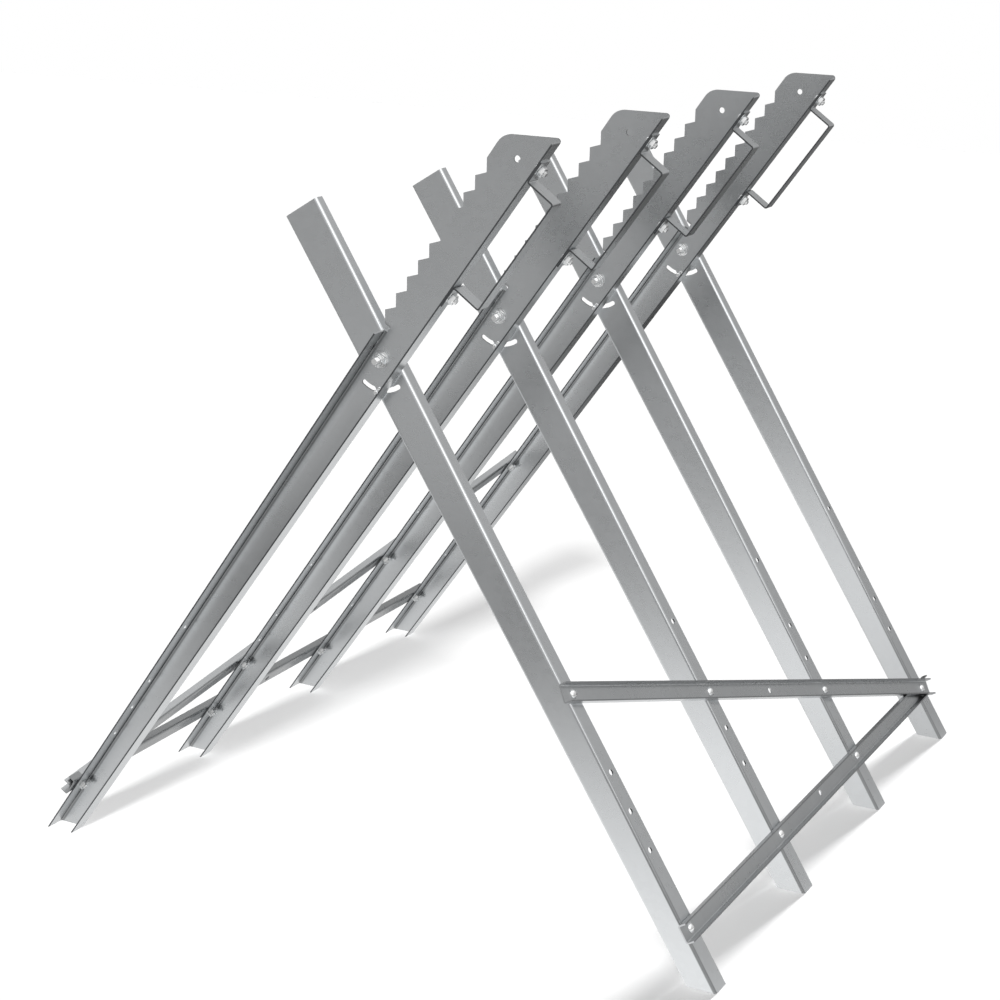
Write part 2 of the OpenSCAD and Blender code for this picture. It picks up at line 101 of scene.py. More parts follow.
class StandSizes(bpy.types.PropertyGroup):
    """Where the fasteners sit, in the sizes of the stand itself."""

    frame_gap: FloatProperty(name="Frame gap", description="Distance from one crossed frame to the next",
                             default=0.244, unit="LENGTH")
    arm_angle: FloatProperty(name="Arm angle", description="Angle of the toothed arms to the floor",
                             default=np.radians(55.3), subtype="ANGLE")
    leg_angle: FloatProperty(name="Leg angle", description="Angle of the plain legs to the floor",
                             default=np.radians(57.6), subtype="ANGLE")
    top_height: FloatProperty(name="Top height", description="Height of the arms' cut tops", default=0.798,
                              unit="LENGTH")
    web_pivot: FloatProperty(name="Web at pivot", description="Web width at the pivot", default=0.038,
                             unit="LENGTH")
    web_foot: FloatProperty(name="Web at foot", description="Web width at the foot", default=0.027,
                            unit="LENGTH")
    pivot_offset: FloatProperty(name="Pivot offset",
                                description="Distance of the pivot from the middle of the web",
                                default=0.0045, unit="LENGTH")
    sheet: FloatProperty(name="Sheet", description="Sheet thickness of arms, legs and braces",
                         default=0.0015, unit="LENGTH")
    web_gap: FloatProperty(name="Web gap", description="Gap between the webs of an arm and its leg",
                           default=0.0003, unit="LENGTH")
    hole_y: FloatProperty(name="Hole line",
                          description="Distance of the flange holes from the back of the web",
                          default=0.0105, unit="LENGTH")
    arm_hole: FloatProperty(name="Arm hole",
                            description="Distance from the pivot to the lowest hole of an arm",
                            default=0.635, unit="LENGTH")
    leg_hole: FloatProperty(name="Leg hole",
                            description="Distance from the pivot to the lowest hole of a leg", default=0.619,
                            unit="LENGTH")
    climb: FloatProperty(name="Climb", description="How far a diagonal brace climbs from frame to frame",
                         default=0.0836, unit="LENGTH")
    brace_end: FloatProperty(name="Brace end", description="Length of a brace past its end bolts",
                             default=0.018, unit="LENGTH")
    brace_lift: FloatProperty(name="Brace lift",
                              description="Lift of a diagonal brace where it lies on another",
                              default=0.00165, unit="LENGTH")
    handle_low: FloatProperty(name="Handle bolt",
                              description="Distance from the arm's top to a handle's upper bolt",
                              default=0.016, unit="LENGTH")
    handle_span: FloatProperty(name="Handle span", description="Distance between the two bolts of a handle",
                               default=0.1535, unit="LENGTH")
    strap: FloatProperty(name="Strap", description="Thickness of a handle strap", default=0.0016,
                         unit="LENGTH")
    stop_radius: FloatProperty(name="Stop radius", description="Distance of the stop pins from the pivot",
                               default=0.031, unit="LENGTH")


class FastenerSizes(bpy.types.PropertyGroup):
    """Sizes of the bolts, nuts, washers and pins."""

    bolt_r: FloatProperty(name="Bolt radius", description="Radius of the brace and handle bolts",
                          default=0.003, unit="LENGTH")
    bolt_pitch: FloatProperty(name="Bolt thread", description="Thread pitch of those bolts", default=0.001,
                              unit="LENGTH")
    dome_r: FloatProperty(name="Dome radius", description="Radius of the domed heads", default=0.0055,
                          unit="LENGTH")
    dome_h: FloatProperty(name="Dome height", description="Height of the domed heads", default=0.0033,
                          unit="LENGTH")
    nut_hex: FloatProperty(name="Nut width", description="Width of the nuts over their flats", default=0.010,
                           unit="LENGTH")
    nut_h: FloatProperty(name="Nut height", description="Height of the nuts", default=0.0046, unit="LENGTH")
    bolt_out: FloatProperty(name="Bolt end", description="How far a bolt stands out of its nut",
                            default=0.0024, unit="LENGTH")
    pivot_r: FloatProperty(name="Pivot radius", description="Radius of the pivot bolts", default=0.004,
                           unit="LENGTH")
    pivot_pitch: FloatProperty(name="Pivot thread", description="Thread pitch of the pivot bolts",
                               default=0.00125, unit="LENGTH")
    pivot_out: FloatProperty(name="Pivot end",
                             description="Reach of a pivot bolt in front of the frame line", default=0.0155,
                             unit="LENGTH")
    pivot_hex: FloatProperty(name="Pivot hexagon",
                             description="Width of pivot nuts and heads over their flats", default=0.013,
                             unit="LENGTH")
    pivot_nut_h: FloatProperty(name="Pivot nut", description="Height of a pivot nut with its collar",
                               default=0.008, unit="LENGTH")
    pivot_head_h: FloatProperty(name="Pivot head", description="Height of a pivot bolt's head",
                                default=0.0053, unit="LENGTH")
    washer_r: FloatProperty(name="Washer radius", description="Outer radius of the pivot washers",
                            default=0.008, unit="LENGTH")
    washer_h: FloatProperty(name="Washer", description="Thickness of the pivot washers", default=0.0016,
                            unit="LENGTH")
    stop_r: FloatProperty(name="Stop pin radius", description="Radius of a stop pin", default=0.0021,
                          unit="LENGTH")
    stop_head_r: FloatProperty(name="Stop head radius", description="Radius of a stop pin's head and collar",
                               default=0.0037, unit="LENGTH")
    stop_head_h: FloatProperty(name="Stop head", description="Height of a stop pin's head and collar",
                               default=0.0024, unit="LENGTH")
    stop_out: FloatProperty(name="Stop end", description="Reach of a stop pin in front of the frame line",
                            default=0.0125, unit="LENGTH")
    stop_gap: FloatProperty(name="Stop gap", description="Gap from a stop pin's head or collar to the sheet",
                            default=0.0003, unit="LENGTH")
    turns: IntProperty(name="Facets", description="Points round a bolt, brace nut or stop pin", default=36,
                       min=12)
    pivot_turns: IntProperty(name="Pivot facets", description="Points round a pivot bolt, washer or nut",
                             default=48, min=12)


class StandFinish(bpy.types.PropertyGroup):
    """Colours and wear of the metal."""

    zinc: FloatVectorProperty(name="Zinc", description="Colour of the galvanised sheet", subtype="COLOR",
                              default=(0.655, 0.67, 0.68))
    cut_steel: FloatVectorProperty(name="Cut steel", description="Colour of sheared edges", subtype="COLOR",
                                   default=(0.13, 0.135, 0.14))
    plate: FloatVectorProperty(name="Bright zinc", description="Colour of the plated fasteners",
                               subtype="COLOR", default=(0.9, 0.905, 0.905))
    nylon: FloatVectorProperty(name="Nylon", description="Colour of the locking rings", subtype="COLOR",
                               default=(0.74, 0.75, 0.76))
    roughness: FloatProperty(name="Sheet roughness", description="Roughness of the galvanised sheet",
                             default=0.28, min=0.0, max=1.0)
    plate_roughness: FloatProperty(name="Plate roughness", description="Roughness of the plated fasteners",
                                   default=0.22, min=0.0, max=1.0)
    spangle: FloatProperty(name="Spangle", description="Contrast of the zinc crystals", default=0.03,
                           min=0.0, max=1.0)
    spangle_size: FloatProperty(name="Spangle size", description="Size of a zinc crystal", default=0.007,
                                unit="LENGTH")


class StandStage(bpy.types.PropertyGroup):
    """Camera, lamps and floor."""

    eye: FloatVectorProperty(name="Camera", description="Place of the camera", subtype="TRANSLATION",
                             unit="LENGTH", default=(1.06295, -2.14657, 1.04396))
    azimuth: FloatProperty(name="Azimuth", description="Turn of the camera to the right of the front",
                           subtype="ANGLE", default=np.radians(27.22707))
    elevation: FloatProperty(name="Elevation", description="Height angle of the camera", subtype="ANGLE",
                             default=np.radians(16.42177))
    roll: FloatProperty(name="Roll", description="Lean of the camera", subtype="ANGLE",
                        default=np.radians(-1.37511))
    lens: FloatProperty(name="Lens", description="Focal length in millimetres", default=79.528)
    wall: FloatProperty(name="Wall",
                        description="Brightness of the room at the horizon, as the metal shows it",
                        default=0.37)
    leg_key: FloatProperty(name="Leg key", description="Strength of the lamp that casts the legs' shadow",
                           default=2.27)
    arm_key: FloatProperty(name="Arm key", description="Strength of the lamp that casts the arms' shadow",
                           default=2.13)
    leg_key_size: FloatProperty(name="Leg key size", description="Width of that lamp in the sky",
                                subtype="ANGLE", default=np.radians(3.5))
    arm_key_size: FloatProperty(name="Arm key size", description="Width of that lamp in the sky",
                                subtype="ANGLE", default=np.radians(4.5))
    key_legs: FloatVectorProperty(name="Leg key aim",
                                  description="Direction of the lamp for the legs' shadow",
                                  subtype="DIRECTION", default=(-0.56, 0.6, 1.0))
    key_arms: FloatVectorProperty(name="Arm key aim",
                                  description="Direction of the lamp for the arms' shadow",
                                  subtype="DIRECTION", default=(0.6, -0.9, 1.0))
    ceiling: FloatProperty(name="Ceiling", description="Brightness that the ceiling adds to the room",
                           default=0.9)
    pane: FloatProperty(name="Pane", description="Brightness that the pane adds to the room", default=0.45)
    floor_white: FloatProperty(name="Floor white",
                               description="Brightness that the camera alone sees in the floor", default=0.1)
    floor_half: FloatProperty(name="Floor", description="Half the width of the floor", default=6.0,
                              unit="LENGTH")


def sizes():
    return bpy.context.scene.log_stand_sizes


def fasteners():
    return bpy.context.scene.log_stand_fasteners


def finish():
    return bpy.context.scene.log_stand_finish


def stage():
    return bpy.context.scene.log_stand_stage


# Places on the stand


def frame_y(k):
    return (k - (FRAMES - 1) / 2) * sizes().frame_gap


def tilt_axes(turn, side=1.0):
    """Axes of a plane turned about y: x along the channel, y along the stand, z out of the face."""
    along = np.array([np.cos(turn), 0.0, np.sin(turn)])
    out = side * np.array([-np.sin(turn), 0.0, np.cos(turn)])
    return along, np.array([0.0, 1.0, 0.0]), out


def flange_plane(name):
    """Origin and axes of a flange's outer face: the pivot moved out by the flange's distance, turned by the
    taper."""
    s = sizes()
    half, pivot = (s.web_pivot - s.web_foot) / 2, np.array(PIVOT)
    near, far = s.web_pivot / 2 - s.pivot_offset, s.web_pivot / 2 + s.pivot_offset
    arm_taper = np.arctan(half / (PIVOT[2] / np.sin(s.arm_angle)))
    leg_taper = np.arctan(half / (PIVOT[2] / np.sin(s.leg_angle)))
    turn, side, reach, taper = {
        "arm_near": (s.arm_angle + arm_taper, 1.0, near, arm_taper),
        "arm_far": (s.arm_angle - arm_taper, -1.0, far, arm_taper),
        "leg_near": (-s.leg_angle - leg_taper, 1.0, near, leg_taper),
    }[name]
    axes = tilt_axes(turn, side)
    return pivot + axes[2] * reach * np.cos(taper), axes


def on_plane(plane, x, y):
    """Point on a flange's face, at x along the flange and y along the stand."""
    origin, (along, across, _) = plane
    return origin + along * x + across * y


def brace_bolt_places(side):
    """Seats of the seven bolts of a pair of braces and the axes they stand on. The lower brace's bolts sit
    one sheet off the flange; those of the diagonal follow its lift, which falls linearly along it."""
    s = sizes()
    diagonal = np.hypot(s.frame_gap, s.climb)
    run = (FRAMES - 1) * diagonal + s.brace_end
    plane = flange_plane(side + "_near")
    first, step, low, up = (0, 1, -s.arm_hole, 1) if side == "arm" else (FRAMES - 1, -1, s.leg_hole, -1)
    offset = (-1 if side == "arm" else 1) * (s.web_gap / 2 + s.hole_y)
    seats = [(first, 0, s.brace_lift + s.sheet)]
    seats += [(first + step * i, 0, s.sheet) for i in range(1, FRAMES)]
    lifts = [(i, s.brace_lift * (1 - i * diagonal / run)) for i in range(1, FRAMES)]
    seats += [(first + step * i, i, lift + s.sheet) for i, lift in lifts]
    places = [(on_plane(plane, low + up * n * s.climb, frame_y(k) + offset), h) for k, n, h in seats]
    return places, plane[1]


def handle_bolt_places():
    """Points on the arms' far flanges where the handle bolts go through, and the axes they stand on."""
    s = sizes()
    plane = flange_plane("arm_far")
    top = (s.top_height - PIVOT[2]) / np.sin(s.arm_angle) - s.handle_low
    y = -s.web_gap / 2 - s.hole_y
    bolts = [(k, x) for k in range(FRAMES) for x in (top - s.handle_span, top)]
    return [on_plane(plane, x, frame_y(k) + y) for k, x in bolts], plane[1]


def pivot_places(radius=0.0):
    """Points on the frame lines at the pivot, or at the stop pins half-way between arm and leg, and the axes
    there, with z to the front."""
    s = sizes()
    turn = s.arm_angle + np.pi + (np.pi - s.arm_angle - s.leg_angle) / 2
    shift = radius * np.array([np.cos(turn), 0.0, np.sin(turn)])
    axes = (np.array([1.0, 0.0, 0.0]), np.array([0.0, 0.0, 1.0]), np.array([0.0, -1.0, 0.0]))
    return [np.array([PIVOT[0], frame_y(k), PIVOT[2]]) + shift for k in range(FRAMES)], axes


# Surfaces


class Surface:
    """Points and faces gathered from grids, put into one mesh at the end."""

    def __init__(self):
        self.points, self.faces, self.slots = [], [], []
        self.count = 0

    def grid(self, xyz, slot=0, close_u=True, close_v=False):
        """Adds a grid of points (rows v, columns u) as quads, joined end to end where it closes."""
        rows, columns = xyz.shape[:2]
        index = self.count + np.arange(rows * columns).reshape(rows, columns)
        a, b = (index, np.roll(index, -1, axis=1)) if close_u else (index[:, :-1], index[:, 1:])
        lower = np.arange(rows if close_v else rows - 1)
        upper = (lower + 1) % rows
        quads = np.stack([a[lower], b[lower], b[upper], a[upper]], axis=-1).reshape(-1, 4)
        self.points.append(xyz.reshape(-1, 3))
        self.faces.append(quads)
        self.slots.append(np.full(len(quads), slot))
        self.count += rows * columns

    def mesh(self, name, materials, closed=True):
        """Object at the origin holding every grid, smooth but for its marked sharp edges. Where it is closed,
        doubled points are merged, the faces are turned outwards and an open edge is an error."""
        data = bpy.data.meshes.new(name)
        data.from_pydata(np.concatenate(self.points).tolist(), [], np.concatenate(self.faces).tolist())
        data.polygons.foreach_set("material_index", np.concatenate(self.slots).astype(np.int32))
        data.polygons.foreach_set("use_smooth", np.ones(len(data.polygons), bool))
        for material in materials:
            data.materials.append(material)
        shell = bmesh.new()
        shell.from_mesh(data)
        if closed:
            bmesh.ops.remove_doubles(shell, verts=shell.verts, dist=MERGE_GAP)
            bmesh.ops.recalc_face_normals(shell, faces=shell.faces)
            open_edges = sum(not edge.is_manifold for edge in shell.edges)
            if open_edges:
                raise RuntimeError(f"{name} has {open_edges} open edges")
        shell.to_mesh(data)
        shell.free()
        data.set_sharp_from_angle(angle=SHARP_ANGLE)
        obj = bpy.data.objects.new(name, data)
        bpy.context.scene.collection.objects.link(obj)
        return obj


def placed(local, origin, axes):
    """Local points x, y, z moved to an origin and onto three axes."""
    return origin + local[..., 0:1] * axes[0] + local[..., 1:2] * axes[1] + local[..., 2:3] * axes[2]


def turned(profile, n):
    """Surface of revolution: each profile point (r, z) swept round z."""
    profile = np.asarray(profile, float)
    angle = np.arange(n) * 2 * np.pi / n
    r, z = profile[:, :1], profile[:, 1:2]
    return np.stack([r * np.cos(angle), r * np.sin(angle), np.broadcast_to(z, (len(profile), n))], axis=-1)


def threaded(radius, depth, pitch, low, high, n):
    """Screw thread: the radius falls by depth as a rounded saw wave of z / pitch - angle / turn, and runs out
    at the upper end; the lower end is drawn in to a cone and closed on the axis."""
    rows = int((high - low) / pitch * THREAD_ROWS) + 2
    z = np.linspace(low, high, rows)[:, None]
    angle = (np.arange(n) * 2 * np.pi / n)[None, :]
    wave = np.abs(((z / pitch - angle / (2 * np.pi)) % 1.0) * 2 - 1)
    groove = depth * np.clip(1.35 * wave - 0.15, 0, 1) * np.clip((high - z) / (1.5 * pitch), 0, 1)
    r = np.minimum(radius - groove, radius * BOLT_TIP + (z - low))
    wall = np.stack([r * np.cos(angle), r * np.sin(angle), np.broadcast_to(z, r.shape)], axis=-1)
    return np.concatenate([turned([(0.0, low), (radius * 0.4, low)], n), wall])


def hexagon(width, angle):
    """Distance from the axis to a hexagon: half its width over the cosine of the angle to its nearest
    flat."""
    step = np.pi / 3
    return width / 2 / np.cos((angle + step / 2) % step - step / 2)


def hex_wall(width, height, n):
    """Sides of a hexagon prism: the radius is the lesser of the hexagon's and that of two 30 degree cones."""
    angle = np.arange(n) * 2 * np.pi / n
    z = np.concatenate([np.linspace(0, 0.12, 5), np.linspace(0.88, 1, 5)])[:, None] * height
    cone = width * 0.475 + np.minimum(z, height - z) * np.sqrt(3)
    r = np.minimum(hexagon(width, angle)[None, :], cone)
    return np.stack([r * np.cos(angle), r * np.sin(angle), np.broadcast_to(z, r.shape)], axis=-1)


def chamfered_hex(width, height, bore, n):
    """Hexagon nut: the sides, then inwards over the top, down its bore and out under the bottom, as a closed
    ring."""
    lip = bore * 0.08
    inside = [(bore + lip, height), (bore, height - lip), (bore, lip), (bore + lip, 0.0)]
    return np.concatenate([hex_wall(width, height, n), turned(inside, n)])


def hex_head(width, height, shank, n):
    """Hexagon head: out from the shank under the head, up the sides and in to the middle of its top."""
    return np.concatenate([turned([(shank, 0.0)], n), hex_wall(width, height, n), turned([(0.0, height)], n)])


def bolt_shank(out, origin, axes, radius, pitch, seat, end, n):
    """Plain upper shank and threaded lower shank of a bolt that runs down -z from its seat."""
    thread_top = min(seat - 0.1 * radius, end + THREAD_TURNS * pitch)
    out.grid(placed(threaded(radius, THREAD_DEPTH * pitch, pitch, end, thread_top, n), origin, axes))
    out.grid(placed(turned([(radius, thread_top), (radius, seat)], n), origin, axes))


def domed_bolt(out, origin, axes, seat, end):
    """Mushroom-head bolt: a spherical cap on a thin rim with a rounded edge, over a threaded shank."""
    f = fasteners()
    ball = (f.dome_r ** 2 + f.dome_h ** 2) / (2 * f.dome_h)
    rim = 0.12 * f.dome_h
    reach = np.arcsin(f.dome_r * 0.97 / ball)
    sweep = np.linspace(reach, 0, 12)
    cap = np.stack([ball * np.sin(sweep), f.dome_h - ball + ball * np.cos(sweep)], axis=-1)
    profile = [(f.bolt_r, 0), (f.dome_r * 0.95, 0), (f.dome_r * 0.99, rim * 0.4), (f.dome_r * 0.99, rim)]
    out.grid(placed(turned(np.concatenate([profile, cap]) + (0, seat), f.turns), origin, axes))
    bolt_shank(out, origin, axes, f.bolt_r, f.bolt_pitch, seat, end, f.turns)


def flat_washer(bore, radius, height, n):
    """Flat washer: a rectangle from the bore to the radius with its outer corners eased, swept round z."""
    edge = 0.18 * height
    ring = [(bore, 0), (radius - 0.2 * edge, 0), (radius, edge), (radius, height - 2 * edge),
            (radius - 0.6 * edge, height - 0.6 * edge), (radius - 2 * edge, height), (bore, height)]
    return turned(ring, n)


def nut_collar(wide, rim, low, top, collar, n):
    """Collar of a locking nut: a thin upright wall whose top is rolled inwards, swept round z."""
    lip = [(wide, low), (wide, top - 0.45 * collar), (wide - 0.12 * rim, top - 0.2 * collar),
           (wide - 0.4 * rim, top - 0.05 * collar), (wide - 0.7 * rim, top),
           (wide - rim, top - 0.04 * collar), (wide - rim, low)]
    return turned(lip, n)


def nut_insert(bolt, wide, low, top, collar, n):
    """Locking ring inside the collar: a rectangle that dips towards the bolt, swept round z."""
    inner = [(bolt * PLAY, low), (wide, low), (wide, top - 0.16 * collar), (bolt * 1.08, top - 0.2 * collar),
             (bolt * PLAY, top - 0.32 * collar)]
    return turned(inner, n)


def stop_pin(r, wide, high, face, end, n):
    """Stop pin: a flat head with eased edges behind the sheet, a shank, and a thicker end whose edge is a
    quarter circle, swept round z."""
    cap = 1.3 * r
    bend, ease = np.linspace(0, np.pi / 2, 7), 0.6 * cap
    round_end = np.stack([cap - ease * (1 - np.cos(bend)), end - ease * (1 - np.sin(bend))], axis=-1)
    head = [(0, -face - high), (0.7 * wide, -face - high), (0.92 * wide, -face - 0.9 * high),
            (wide, -face - 0.7 * high), (wide, -face - 0.06 * high), (0.98 * wide, -face), (r, -face)]
    neck = [(r, end - 2 * cap), (cap, end - 2 * cap + 0.3 * r)]
    return turned(np.concatenate([head, neck, round_end, [(0, end)]]), n)


def stop_collar(r, wide, high, face, n):
    """Collar of a stop pin: a flat ring with eased outer edges, swept round z."""
    bore = WASHER_PLAY * r
    ring = [(bore, face), (0.97 * wide, face), (wide, face + 0.06 * high), (wide, face + 0.7 * high),
            (0.95 * wide, face + 0.9 * high), (0.85 * wide, face + high), (bore, face + high)]
    return turned(ring, n)


# Materials


class Wire:
    """A value in a node tree. Arithmetic on it adds Math nodes."""

    def __init__(self, bench, socket):
        self.bench, self.socket = bench, socket

    def _math(self, operation, *values):
        return self.bench.node("ShaderNodeMath", {"operation": operation}, dict(enumerate(values)))

    def __add__(self, other):
        return self._math("ADD", self, other)

    def __sub__(self, other):
        return self._math("SUBTRACT", self, other)

    def __rsub__(self, other):
        return self._math("SUBTRACT", other, self)

    def __mul__(self, other):
        return self._math("MULTIPLY", self, other)

    def __truediv__(self, other):
        return self._math("DIVIDE", self, other)

    def __rtruediv__(self, other):
        return self._math("DIVIDE", other, self)

    def __gt__(self, other):
        return self._math("GREATER_THAN", self, other)

    def __lt__(self, other):
        return self._math("LESS_THAN", self, other)

    def __abs__(self):
        return self._math("ABSOLUTE", self)

    def high(self, other):
        return self._math("MAXIMUM", self, other)

    def low(self, other):
        return self._math("MINIMUM", self, other)

    def modulo(self, other):
        return self._math("FLOORED_MODULO", self, other)

    def root(self):
        return self._math("SQRT", self)

    def fade(self, full, none):
        """1 where the value is at or past full, 0 at or past none, a straight line between them."""
        return ((none - self) / (none - full)).high(0.0).low(1.0)

    __radd__, __rmul__ = __add__, __mul__


class Bench:
    """Builds one material or world. Every node comes from node(), which sets settings before inputs."""

    def __init__(self, owner, output="ShaderNodeOutputMaterial"):
        owner.use_nodes = True
        self.owner, self.tree = owner, owner.node_tree
        self.tree.nodes.clear()
        self.output = self.tree.nodes.new(output)

    def node(self, kind, settings=None, inputs=None, out=0):
        made = self.tree.nodes.new(kind)
        for key, value in (settings or {}).items():
            if key == "stops":
                self.set_stops(made.color_ramp, value)
            else:
                setattr(made, key, value)
        for key, value in (inputs or {}).items():
            if isinstance(value, Wire):
                self.tree.links.new(value.socket, made.inputs[key])
            else:
                made.inputs[key].default_value = value
        return Wire(self, made.outputs[out])

    def set_stops(self, ramp, stops):
        for element, (place, grey) in zip((ramp.elements[0], ramp.elements[1]), (stops[0], stops[-1])):
            element.position, element.color = place, (grey, grey, grey, 1.0)
        for place, grey in stops[1:-1]:
            ramp.elements.new(place).color = (grey, grey, grey, 1.0)

    def ramp(self, value, stops):
        """Greys at places from 0 to 1, joined by straight lines."""
        return self.node("ShaderNodeValToRGB", {"stops": stops}, {"Fac": value})

    def split(self, vector):
        made = self.node("ShaderNodeSeparateXYZ", None, {0: vector})
        return [Wire(self, made.socket.node.outputs[i]) for i in range(3)]

    def place(self):
        return self.node("ShaderNodeTexCoord", out="Object")

    def facing(self):
        return self.node("ShaderNodeTexCoord", out="Normal")

    def blend(self, factor, first, second):
        """Colour mix: factor 0 gives the first colour, 1 the second."""
        return self.node("ShaderNodeMix", {"data_type": "RGBA"}, {0: factor, 6: first, 7: second}, out=2)

    def grey(self, value):
        return self.node("ShaderNodeCombineColor", None, {0: value, 1: value, 2: value})

    def shade(self, colour, value):
        """Colour scaled by a value near 1."""
        return self.node("ShaderNodeMix", {"data_type": "RGBA", "blend_type": "MULTIPLY"},
                         {0: 1.0, 6: colour, 7: self.grey(value)}, out=2)

    def along(self, vector, axis):
        """Length of a vector along an axis."""
        pair = {0: vector, 1: tuple(axis)}
        return self.node("ShaderNodeVectorMath", {"operation": "DOT_PRODUCT"}, pair, out="Value")

    def noise(self, place, scale, detail, rough=0.5):
        """Cloudy pattern with the given number of spots to the metre."""
        values = {"Vector": place, "Scale": scale, "Detail": detail, "Roughness": rough}
        return self.node("ShaderNodeTexNoise", None, values)

    def finish(self, **inputs):
        names = {"colour": "Base Color", "rough": "Roughness", "metal": "Metallic", "normal": "Normal"}
        values = {names[key]: value for key, value in inputs.items()}
        return self.surface(self.node("ShaderNodeBsdfPrincipled", None, values))

    def surface(self, shader):
        self.tree.links.new(shader.socket, self.output.inputs["Surface"])
        return self.owner


def rgba(colour):
    return (*colour, 1.0)


def galvanised(name, turn, edge_rule, painted_light_and_tone_rule=None):
    """Satin zinc on rolled sheet: small crystals of slightly different grey, faint rolling streaks along the
    sheet, smudges in the gloss, and bare steel where edge_rule finds a sheared edge. The tone rule scales
    it with painted light and shade, and on the braces with clouds of tone too."""
    f = finish()
    b = Bench(bpy.data.materials.new(name))
    place = b.place()
    cells = {"Vector": place, "Scale": 1 / f.spangle_size, "Randomness": 1.0}
    crystal = b.split(b.node("ShaderNodeTexVoronoi", None, cells, out="Color"))[0]
    rolled = {"Vector": place, "Rotation": (0.0, turn, 0.0), "Scale": ROLLING}
    streak = b.noise(b.node("ShaderNodeMapping", None, rolled), 1.0, detail=3.0, rough=0.6)
    smudge = b.noise(place, 9.0, detail=4.0, rough=0.55)
    edge = edge_rule(b)
    level = 1.0 + f.spangle * (crystal - 0.5) + 0.03 * (streak - 0.5) + 0.05 * (smudge - 0.5)
    # painted light and shade from the tone rule
    level = level * painted_light_and_tone_rule(b) if painted_light_and_tone_rule else level
    colour = b.blend(edge, b.shade(rgba(f.zinc), level), rgba(f.cut_steel))
    rough = f.roughness + 0.015 * (crystal - 0.5) + 0.06 * (smudge - 0.5) + 0.02 * (streak - 0.5)
    bump = b.node("ShaderNodeBump", None, {"Strength": 0.008, "Distance": 0.0002, "Height": streak})
    return b.finish(colour=colour, rough=rough + 0.16 * edge, metal=1.0, normal=bump)


def frame_offset(b):
    """Distance along the stand from the frame line that the sheet belongs to."""
    gap = sizes().frame_gap
    y = b.split(b.place())[1]
    return abs((y + (FRAMES / 2) * gap).modulo(gap) - gap / 2)


def flange_depth(b, name):
    """Depth behind the outer face of a flange."""
    origin, (_, _, out) = flange_plane(name)
    return float(origin @ out) - b.along(b.place(), out)


def frame_edges(b):
    """Sheared edges of arms and legs: the flange edges, which face along the stand away from the web, and the
    walls inside the web's thickness."""
    s = sizes()
    off = frame_offset(b)
    face = abs(b.split(b.facing())[1])
    flange = (off > FLANGE_EDGE) * (face > ALONG)
    wall = (abs(off - (s.web_gap + s.sheet) / 2) < WEB_WALL) * (face < ACROSS)
    return flange.high(wall)


def arm_painted_shade_and_light(b):
    """Painted shade and light on an arm: painted shade in the fold of the near flange, as far up as that
    reaches, and below the pivot a painted reflection on the web, light beside the fold and darker towards the
    far flange, fading out above the foot. Height is measured from the pivot along the arm."""
    s = sizes()
    along = tilt_axes(s.arm_angle)[0]
    height = b.along(b.place(), along) - float(np.array(PIVOT) @ along)
    depth = flange_depth(b, "arm_near")
    # painted reflection on the web: lighter beside the fold, darker towards the far flange
    web = b.split(b.ramp(depth / WEB_REACH, WEB_PAINTED_LIGHT_AND_SHADE))[0]
    span = height.fade(full=-0.07, none=-0.02) * height.fade(full=-0.38, none=-0.54)
    # painted shade in the inner fold of the near flange
    fold = (depth - s.sheet).high(frame_offset(b) - s.sheet).fade(full=0.0022, none=0.0038)
    flanged = height.fade(full=0.03, none=0.034)
    return (1.0 + span * (0.5 * web - 0.25)) * (1.0 - 0.5 * fold * flanged)


def leg_painted_highlight(b):
    """Painted highlight on a leg's outer bend, bright in the upper half and fading from there into painted
    shade at the foot.
    """
    bend = flange_depth(b, "leg_near").high(frame_offset(b)).fade(full=0.0022, none=0.0032)
    foot = b.split(b.place())[2].fade(full=0.08, none=0.44)
    # painted highlight: up to half again as bright at the top, half as bright at the foot
    return 1.0 + bend * (0.45 - 0.95 * foot)


def brace_painted_shade_and_clouds(lowest):
    """Painted shade on a brace: its zinc darkened to the lowest tone, with clouds of tone a hand wide from
    there up.
    """

    def rule(b):
        # lowest is the painted shade; the clouds vary the tone at random
        return lowest + CLOUDS * b.noise(b.place(), 11.0, detail=3.0)

    return rule


def strap_edges(b):
    """Sheared sides of a strap, which face along the stand."""
    return abs(b.split(b.facing())[1]) > ALONG


def brace_edges(name, bare):
    """Sheared flange edges of a brace: whatever lies near the brace's full height over the flange that
    carries it, bare to the given share."""
    out = flange_plane(name)[1][2]

    def rule(b):
        return (flange_depth(b, name) < -BRACE_EDGE) * (b.along(b.facing(), out) > ALONG) * bare

    return rule


def bright_zinc(name):
    """Bright zinc plate on turned and rolled steel: a fine grain in its colour and bump, and clouds in its
    colour and gloss."""
    f = finish()
    b = Bench(bpy.data.materials.new(name))
    place = b.place()
    cloud = b.noise(place, 260.0, detail=3.0)
    grain = b.noise(place, 2600.0, detail=2.0)
    level = 1.0 + 0.08 * (cloud - 0.5) + 0.03 * (grain - 0.5)
    bump = b.node("ShaderNodeBump", None, {"Strength": 0.004, "Distance": 0.0001, "Height": grain})
    rough = f.plate_roughness + 0.08 * (cloud - 0.5)
    return b.finish(colour=b.shade(rgba(f.plate), level), rough=rough, metal=1.0, normal=bump)


def locking_nylon(name):
    """Nylon ring pressed into a locking nut, with a little mottling."""
    b = Bench(bpy.data.materials.new(name))
    spots = 0.2 * (b.noise(b.place(), 700.0, detail=2.0) - 0.5)
    return b.finish(colour=b.shade(rgba(finish().nylon), 1.0 + spots), rough=0.45 + spots)


def material(name, maker, *values):
    """The named material, made when it is first asked for."""
    return bpy.data.materials.get(name) or maker(name, *values)


